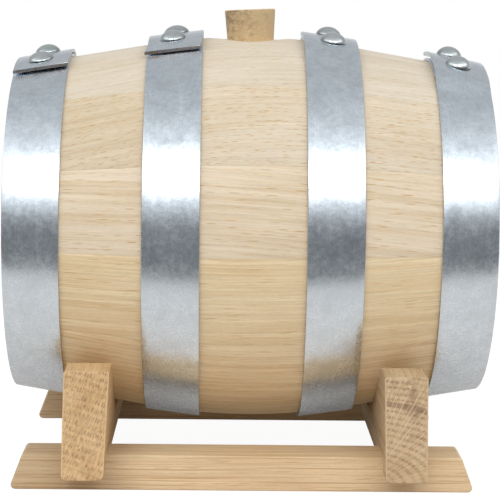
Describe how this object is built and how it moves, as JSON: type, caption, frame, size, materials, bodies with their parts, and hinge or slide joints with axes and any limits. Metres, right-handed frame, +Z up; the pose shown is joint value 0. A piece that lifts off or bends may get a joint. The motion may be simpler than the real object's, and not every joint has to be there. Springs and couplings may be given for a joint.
{
  "type": "oak cask",
  "caption": "Small oak cask with riveted steel hoops, a tapered bung on top and a plugged tap hole, lying on its side in an open wooden cradle.",
  "frame": {"origin": "on the table, below the middle of the cask, at the centre of the overall box", "axes": "+X along the cask towards the head with the tap hole, -Y to the front, +Z up"},
  "size_m": [0.24, 0.2084, 0.2335],
  "materials": {
    "stave_oak": "planed and lightly waxed pale oak",
    "head_oak": "planed pale oak",
    "dowel_wood": "turned, unfinished",
    "cradle_oak": "sawn and sanded oak",
    "bung_wood": "turned, end grain on top",
    "plug_wood": "turned, end grain outside",
    "galvanised_strip": "hot-dip galvanised strip",
    "zinc_rivets": "zinc plated",
    "screw_steel": "zinc plated"
  },
  "bodies": {
    "cradle": {"left_cradle_block": "cradle_oak", "right_cradle_block": "cradle_oak", "front_cradle_rail": "cradle_oak", "rear_cradle_rail": "cradle_oak", "cradle_screws": "screw_steel"},
    "cask": {"bung_stave": "stave_oak", "stave_01": "stave_oak", "stave_02": "stave_oak", "stave_03": "stave_oak", "stave_04": "stave_oak", "stave_05": "stave_oak", "stave_06": "stave_oak", "stave_07": "stave_oak", "stave_08": "stave_oak", "stave_09": "stave_oak", "stave_10": "stave_oak", "stave_11": "stave_oak", "stave_12": "stave_oak", "stave_13": "stave_oak", "tap_head_front_board": "head_oak", "tap_head_middle_board": "head_oak", "tap_head_rear_board": "head_oak", "plain_head_front_board": "head_oak", "plain_head_middle_board": "head_oak", "plain_head_rear_board": "head_oak", "tap_head_dowels": "dowel_wood", "plain_head_dowels": "dowel_wood", "left_head_hoop": "galvanised_strip", "left_bilge_hoop": "galvanised_strip", "right_bilge_hoop": "galvanised_strip", "right_head_hoop": "galvanised_strip", "left_head_hoop_rivets": "zinc_rivets", "left_bilge_hoop_rivets": "zinc_rivets", "right_bilge_hoop_rivets": "zinc_rivets", "right_head_hoop_rivets": "zinc_rivets"},
    "bung": {"bung": "bung_wood"},
    "tap_plug": {"tap_hole_plug": "plug_wood"}
  },
  "joints": [
    {"name": "cask_lift", "type": "slide", "parent": "cradle", "child": "cask", "axis": [0, 0, 1], "range_m": [0, 0.06]},
    {"name": "bung_pull", "type": "slide", "parent": "cask", "child": "bung", "axis": [0, 0, 1], "range_m": [0, 0.045]},
    {"name": "tap_plug_pull", "type": "slide", "parent": "cask", "child": "tap_plug", "axis": [1, 0, 0], "range_m": [0, 0.03]}
  ]
}
